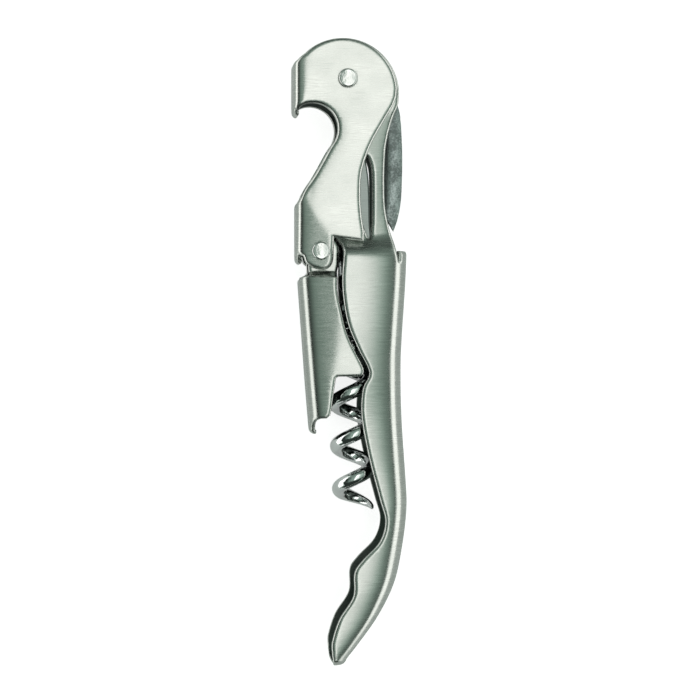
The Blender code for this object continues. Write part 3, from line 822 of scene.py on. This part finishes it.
def tube(bm, path, sides):
    """Add a round tube along a path, closed at both ends."""
    rings = []
    side = Vector((1, 0, 0))
    for i, (point, radius) in enumerate(path):
        before = path[max(i - 1, 0)][0]
        after = path[min(i + 1, len(path) - 1)][0]
        tangent = (after - before).normalized()
        side = (side - tangent * side.dot(tangent)).normalized()
        other = tangent.cross(side)
        rings.append([bm.verts.new(point + radius * (side * math.cos(a) + other * math.sin(a)))
                      for a in [2 * math.pi * k / sides for k in range(sides)]])
    for here, there in zip(rings, rings[1:]):
        for k in range(sides):
            m = (k + 1) % sides
            bm.faces.new((here[k], here[m], there[m], there[k]))
    bm.faces.new(rings[0])
    bm.faces.new(rings[-1])


def worm(chrome):
    """The screw: an eye on its pin, a straight shank and a right-handed helix with a sharp tip."""
    wire = bmesh.new()
    tube(wire, worm_path(), WIRE_SIDES)
    turn = Matrix.Translation((*WORM_PIVOT, 0)) @ Matrix.Rotation(math.radians(WORM_TILT), 4, "Z")
    bmesh.ops.transform(wire, matrix=turn, verts=wire.verts)
    bmesh.ops.recalc_face_normals(wire, faces=wire.faces)
    screw = to_object("worm_screw", wire, chrome, sharp=50)
    eye = bmesh.new()
    bore = WORM_PIN_R + HOLE_CLEARANCE
    corners = [(bore, -WORM_EYE_HALF, False), (WORM_EYE_R, -WORM_EYE_HALF, True),
               (WORM_EYE_R, WORM_EYE_HALF, True), (bore, WORM_EYE_HALF, False)]
    turned(eye, WORM_PIVOT, rounded(corners, 0.4))
    ring = to_object("worm_eye", eye, chrome)
    return screw, ring


# ---------------------------------------------------------------- materials

INSIDE_SHADE_GREY = (0.11, 0.13, 0.12)         # painted shade: the sheets' insides are coloured dark to stand for the shade inside the channels
HANDLE_GREY = (0.62, 0.645, 0.615)
LEVER_GREY = (0.67, 0.69, 0.66)
LOWER_LEVER_GREY = (0.61, 0.635, 0.605)
RIVET_GREY = (0.8, 0.82, 0.8)
PIN_GREY = (0.6, 0.62, 0.6)
BLADE_GREY = (0.3, 0.345, 0.34)
WORN_GREY = (0.8, 0.82, 0.81)            # the blade's bright worn edges
SPRING_GREY = (0.33, 0.37, 0.355)
CHROME = (0.9, 0.92, 0.92)
SHANK_SHADE_GREY = (0.3, 0.32, 0.32)           # painted shade darkening the worm's shank...
SHANK_SHADE_FROM = 0.003                       # ...above this y, in metres...
SHANK_SHADE_FADE = 0.005                       # ...over this length
SATIN = 0.25                             # roughness of the brushed outsides


class Nodes:
    """Short calls for making and joining shader nodes."""

    def __init__(self, tree):
        self.tree = tree

    def add(self, kind, **settings):
        node = self.tree.nodes.new("ShaderNode" + kind)
        for name, value in settings.items():
            setattr(node, name, value)
        return node

    def feed(self, socket, value):
        """Join an output to a socket, or set the socket's number."""
        if isinstance(value, bpy.types.NodeSocket):
            self.tree.links.new(value, socket)
        else:
            socket.default_value = value

    def math(self, operation, *values):
        node = self.add("Math", operation=operation)
        for socket, value in zip(node.inputs, values):
            self.feed(socket, value)
        return node.outputs[0]

    def blend(self, factor, low, high):
        """A number between low and high."""
        node = self.add("Mix", data_type="FLOAT")
        for socket, value in zip((node.inputs[0], node.inputs[2], node.inputs[3]), (factor, low, high)):
            self.feed(socket, value)
        return node.outputs[0]

    def tint(self, factor, low, high):
        """A colour between low and high."""
        node = self.add("Mix", data_type="RGBA")
        for socket, value in zip((node.inputs[0], node.inputs[6], node.inputs[7]), (factor, low, high)):
            self.feed(socket, value)
        return node.outputs[2]

    def spread(self, value, low, high, to_low=0.0, to_high=1.0, smooth=True):
        """Map a value from one range to another, held at the ends."""
        node = self.add("MapRange", interpolation_type="SMOOTHSTEP" if smooth else "LINEAR")
        for socket, number in zip(node.inputs, (value, low, high, to_low, to_high)):
            self.feed(socket, number)
        return node.outputs[0]

    def grain(self, vector, scale, size, detail=3.0):
        """A noise pattern, with its vector scaled along each axis (in cells per metre) first."""
        stretched = self.add("Mapping")
        self.feed(stretched.inputs["Vector"], vector)
        stretched.inputs["Scale"].default_value = scale
        node = self.add("TexNoise")
        self.feed(node.inputs["Vector"], stretched.outputs[0])
        node.inputs["Scale"].default_value = size
        node.inputs["Detail"].default_value = detail
        return node.outputs["Fac"]


def shaded(colour):
    """The colour as a node's value."""
    return (*colour, 1.0)


def brushed_steel(name, colour, rough, streak=1.4, pattern_map=True):
    """Stainless steel brushed across the length, with polished edges and faint clouding."""
    made = bpy.data.materials.new(name)
    made.use_nodes = True
    n = Nodes(made.node_tree)
    shader = made.node_tree.nodes["Principled BSDF"]
    if pattern_map:
        place = n.add("UVMap", uv_map="pattern").outputs[0]
    else:
        place = n.add("TexCoord").outputs["Object"]
    fine = n.grain(place, (420, 9500, 9500), 1.0, 2.0)
    broad = n.grain(place, (220, 4200, 4200), 1.0, 2.0)
    cloud = n.grain(place, (130, 170, 150), 1.0, 3.0)
    both = n.math("ADD", n.math("MULTIPLY", fine, 0.6), n.math("MULTIPLY", broad, 0.4))
    wear = n.spread(n.add("NewGeometry").outputs["Pointiness"], 0.52, 0.6)
    dark = shaded([c * (1 - 0.16 * streak) for c in colour])
    light = shaded([min(c * (1 + 0.10 * streak), 1.0) for c in colour])
    tone = n.tint(n.spread(both, 0.3, 0.7), dark, light)
    clouded = n.tint(n.spread(cloud, 0.35, 0.75), tone, shaded([c * 0.97 for c in colour]))
    n.feed(shader.inputs["Base Color"], n.tint(wear, clouded, shaded([min(c * 1.06, 1.0) for c in colour])))
    shader.inputs["Metallic"].default_value = 1.0
    satin = n.spread(both, 0.25, 0.75, rough - 0.05, rough + 0.06)
    varied = n.math("ADD", satin, n.spread(cloud, 0.3, 0.7, -0.02, 0.03))
    n.feed(shader.inputs["Roughness"], varied)
    if pattern_map:
        shader.inputs["Anisotropic"].default_value = 0.7
        shader.inputs["Anisotropic Rotation"].default_value = 0.25
        tangent = n.add("Tangent", direction_type="RADIAL", axis="Y")
        n.feed(shader.inputs["Tangent"], tangent.outputs[0])
    bump = n.add("Bump")
    bump.inputs["Strength"].default_value = 0.35 * streak
    bump.inputs["Distance"].default_value = 0.00002
    n.feed(bump.inputs["Height"], both)
    n.feed(shader.inputs["Normal"], bump.outputs[0])
    return made


def polished_steel(name, colour, rough, unevenness, shade_from=None):
    """Plated or burnished metal whose skin is very slightly uneven, with a few hairlines.

    The optional last argument is the y, in metres, above which the colour fades to a dark grey that is painted
    shade.
    """
    made = bpy.data.materials.new(name)
    made.use_nodes = True
    n = Nodes(made.node_tree)
    shader = made.node_tree.nodes["Principled BSDF"]
    place = n.add("TexCoord").outputs["Object"]
    waves = n.grain(place, (900, 900, 900), 1.0, 2.0)
    hairs = n.grain(place, (5000, 700, 5000), 1.0, 2.0)
    haze = n.grain(place, (260, 260, 260), 1.0, 4.0)
    tone = n.tint(n.spread(haze, 0.35, 0.7), shaded(colour), shaded([c * 0.9 for c in colour]))
    # Painted shade: above the given y the colour turns to a dark grey that stands for shade.
    if shade_from is not None:
        split = n.add("SeparateXYZ")
        n.feed(split.inputs[0], place)
        shank = n.spread(split.outputs[1], shade_from, shade_from + SHANK_SHADE_FADE)
        tone = n.tint(shank, tone, shaded(SHANK_SHADE_GREY))
    n.feed(shader.inputs["Base Color"], tone)
    shader.inputs["Metallic"].default_value = 1.0
    n.feed(shader.inputs["Roughness"], n.math("ADD", n.spread(haze, 0.35, 0.75, rough, rough * 1.8),
                                              n.spread(hairs, 0.62, 0.8, 0.0, 0.05)))
    bump = n.add("Bump")
    bump.inputs["Strength"].default_value = unevenness
    bump.inputs["Distance"].default_value = 0.0002
    n.feed(bump.inputs["Height"], waves)
    n.feed(shader.inputs["Normal"], bump.outputs[0])
    return made


def mottled_steel(name, colour, rough):
    """Blade steel, blasted to a speckled grey and worn bright along its edges."""
    made = bpy.data.materials.new(name)
    made.use_nodes = True
    n = Nodes(made.node_tree)
    shader = made.node_tree.nodes["Principled BSDF"]
    place = n.add("TexCoord").outputs["Object"]
    specks = n.grain(place, (3600, 3600, 3600), 1.0, 4.0)
    patches = n.grain(place, (420, 300, 420), 1.0, 3.0)
    wear = n.spread(n.add("NewGeometry").outputs["Pointiness"], 0.53, 0.6)
    blotch = n.math("ADD", n.math("MULTIPLY", specks, 0.55), n.math("MULTIPLY", patches, 0.45))
    tone = n.tint(n.spread(blotch, 0.38, 0.62), shaded([c * 0.62 for c in colour]),
                  shaded([min(c * 1.35, 1.0) for c in colour]))
    n.feed(shader.inputs["Base Color"], n.tint(wear, tone, shaded(WORN_GREY)))
    shader.inputs["Metallic"].default_value = 1.0
    uneven = n.spread(blotch, 0.3, 0.7, rough + 0.12, rough - 0.08)
    n.feed(shader.inputs["Roughness"], n.blend(wear, uneven, 0.2))
    bump = n.add("Bump")
    bump.inputs["Strength"].default_value = 0.5
    bump.inputs["Distance"].default_value = 0.00004
    n.feed(bump.inputs["Height"], specks)
    n.feed(shader.inputs["Normal"], bump.outputs[0])
    return made


# ---------------------------------------------------------------- studio

OVERHEAD = 1.55          # brightness of the overhead softbox, which fades slowly to the right
OVERHEAD_LEFT = (-6.0, 1.5)      # angles from the vertical, in degrees, over which its left side fades
OVERHEAD_RIGHT = 6.0             # where its right side starts to fade...
OVERHEAD_FADE = 19.0             # ...to a third over each further this many degrees
OVERHEAD_ENDS = (20.0, 42.0)     # angles over which its ends fade
SIDE_PANELS = 1.5        # brightness of the low panels on both sides
BACK_PANEL = 0.2         # brightness of the faint panel beyond the head
ROOM = 0.03              # brightness of the rest of the room
DIM_TINT = (0.75, 1.0, 0.86)     # colour of the dimmest light...
FULL_TINT = (1.0, 1.0, 0.97)     # ...and of the brightest
FLOOR_SEEN = 0.8         # glow of the floor in the picture...
FLOOR_FELT = 0.2         # ...and in reflections and bounced light
CAMERA_LEAN = 4.5        # degrees between the camera's direction and the vertical, towards -x
CAMERA_DISTANCE = 0.48
FRAME_WIDTH = 0.1327     # what the picture spans at the object's top


def studio_world():
    """A dark room with a soft overhead panel, a long panel low on each side and a faint one at the back."""
    world = bpy.data.worlds.new("studio")
    world.use_nodes = True
    bpy.context.scene.world = world
    n = Nodes(world.node_tree)
    background = world.node_tree.nodes["Background"]
    split = n.add("SeparateXYZ")
    n.feed(split.inputs[0], n.add("TexCoord").outputs["Generated"])
    x, y, z = split.outputs
    across = n.math("DEGREES", n.math("ARCTAN2", x, z))
    along = n.math("DEGREES", n.math("ARCTAN2", n.math("ABSOLUTE", y), z))
    left = n.spread(across, *OVERHEAD_LEFT, 0.2, 1.0)
    far_left = n.spread(across, -50.0, -12.0)
    past = n.math("MAXIMUM", n.math("SUBTRACT", across, OVERHEAD_RIGHT), 0.0)
    right = n.math("EXPONENT", n.math("DIVIDE", past, -OVERHEAD_FADE))
    ends = n.spread(along, *OVERHEAD_ENDS, 1.0, 0.0)
    panel = n.math("MULTIPLY", n.math("MULTIPLY", n.math("MULTIPLY", left, far_left), right),
                   n.math("MULTIPLY", ends, OVERHEAD))
    sideways = n.math("DIVIDE", n.math("ABSOLUTE", x),
                      n.math("SQRT", n.math("ADD", n.math("MULTIPLY", x, x), n.math("MULTIPLY", y, y))))
    low_panel = n.math("MULTIPLY", n.spread(z, 0.5, 0.38), n.spread(z, -0.12, -0.02))
    sides = n.math("MULTIPLY", n.math("MULTIPLY", low_panel, n.spread(sideways, 0.5, 0.85)), SIDE_PANELS)
    back = n.math("MULTIPLY", n.math("MULTIPLY", n.spread(y, 0.3, 0.6), n.spread(z, 0.3, 0.5)), BACK_PANEL)
    light = n.math("ADD", n.math("ADD", panel, sides), n.math("ADD", back, ROOM))
    colour = n.tint(n.spread(light, 0.15, 1.35), shaded(DIM_TINT), shaded(FULL_TINT))
    path = n.add("LightPath").outputs["Is Camera Ray"]
    n.feed(background.inputs["Color"], n.tint(path, colour, shaded((1.0, 1.0, 1.0))))
    n.feed(background.inputs["Strength"], n.blend(path, light, 1.0))


def floor():
    """A plain white floor, lit so that only a faint contact shadow shows on it."""
    bm = bmesh.new()
    bmesh.ops.create_grid(bm, x_segments=1, y_segments=1, size=3.0)
    mesh = bpy.data.meshes.new("floor")
    bm.to_mesh(mesh)
    bm.free()
    made = bpy.data.objects.new("floor", mesh)
    bpy.context.scene.collection.objects.link(made)
    made.location.z = -0.0001
    white = bpy.data.materials.new("floor_white")
    white.use_nodes = True
    n = Nodes(white.node_tree)
    shader = white.node_tree.nodes["Principled BSDF"]
    shader.inputs["Roughness"].default_value = 0.8
    shader.inputs["Emission Color"].default_value = (1, 1, 1, 1)
    path = n.add("LightPath").outputs["Is Camera Ray"]
    n.feed(shader.inputs["Base Color"], n.tint(path, shaded((0.6, 0.64, 0.62)), shaded((0.8, 0.8, 0.8))))
    n.feed(shader.inputs["Emission Strength"], n.blend(path, FLOOR_FELT, FLOOR_SEEN))
    mesh.materials.append(white)


def camera():
    """Looks down on the object from its length's middle, a little from the worm's side."""
    data = bpy.data.cameras.new("camera")
    made = bpy.data.objects.new("camera", data)
    bpy.context.scene.collection.objects.link(made)
    bpy.context.scene.camera = made
    data.sensor_width = 36.0
    data.lens = data.sensor_width * CAMERA_DISTANCE / FRAME_WIDTH
    data.clip_start = 0.01
    target = Vector((-0.0003, 0.0005, CAD_BOX[1].z))
    lean = math.radians(CAMERA_LEAN)
    back = Vector((-math.sin(lean), 0, math.cos(lean)))
    right = Vector((math.cos(lean), 0, math.sin(lean)))
    made.location = target + back * CAMERA_DISTANCE
    made.rotation_euler = Matrix((right, (0, 1, 0), back)).transposed().to_euler()


# ---------------------------------------------------------------- assembly

def fit(piece, body, slot, *nodes):
    """Put a piece on its body, and hide the CAD nodes it stands for. The slot argument is not used."""
    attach(piece, body)
    if nodes:
        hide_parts(*nodes)


def build():
    """Make every piece around the frame."""
    # The sheets' insides get a dark colour that is painted shade.
    shade_inside = brushed_steel("inside_painted_shade", INSIDE_SHADE_GREY, 0.42)
    satin = brushed_steel("handle_satin", HANDLE_GREY, SATIN)
    fit(handle_channel((satin, shade_inside)), "handle", "handle_steel", "handle_channel")
    satin = brushed_steel("lever_satin", LEVER_GREY, SATIN)
    fit(upper_lever((satin, shade_inside)), "upper_lever", "lever_steel", "upper_lever")
    satin = brushed_steel("lower_lever_satin", LOWER_LEVER_GREY, SATIN)
    fit(lower_lever((satin, shade_inside)), "lower_lever", "lower_lever_steel", "lower_lever")
    burnished = polished_steel("rivet_burnished", RIVET_GREY, 0.13, 0.4)
    main = rivet("main_rivet_headed", MAIN_PIVOT, UPPER_HALF + 0.1, dome=0.08, ease_r=0.32, steel=burnished)
    fit(main, "handle", "rivet_steel", "main_rivet")
    small = rivet("lever_rivet_headed", LEVER_PIVOT, UPPER_HALF - 0.3, dome=0.1, ease_r=0.4, steel=burnished)
    fit(small, "upper_lever", "rivet_steel", "lever_rivet")
    pin = polished_steel("pin_turned", PIN_GREY, 0.22, 0.2)
    fit(worm_pin(pin), "handle", "pin_steel", "worm_pin")
    ring = RIVET_R + HOLE_CLEARANCE
    blade = BLADE_HALF + COLLAR_GAP
    wall = NECK_HALF - SHEET - COLLAR_GAP
    front = collar("knife_spacer_front_turned", MAIN_PIVOT, ring, KNIFE_COLLAR_R, blade, wall, pin)
    back = collar("knife_spacer_back_turned", MAIN_PIVOT, ring, KNIFE_COLLAR_R, -wall, -blade, pin)
    fit(front, "handle", "pin_steel", "knife_spacer_front")
    fit(back, "handle", "pin_steel", "knife_spacer_back")
    wall = TONGUE_HALF - LOWER_SHEET - COLLAR_GAP
    spacer = collar("lever_spacer_turned", LEVER_PIVOT, ring, LEVER_COLLAR_R, -wall, wall, pin)
    fit(spacer, "upper_lever", "pin_steel", "lever_spacer")
    mottled = mottled_steel("blade_mottled", BLADE_GREY, 0.36)
    fit(knife_blade(mottled), "knife", "blade_steel", "knife_blade")
    leaf = brushed_steel("spring_satin", SPRING_GREY, 0.32, pattern_map=False)
    fit(back_spring(leaf), "handle", "spring_steel", "back_spring")
    # The worm's chrome gets painted shade on its shank.
    screw, eye = worm(polished_steel("worm_chrome", CHROME, 0.04, 0.4, SHANK_SHADE_FROM))
    fit(screw, "worm", "chrome", "worm")
    fit(eye, "worm", "chrome")


camera()
studio_world()
floor()
build()
bpy.context.scene.view_settings.view_transform = "Standard"
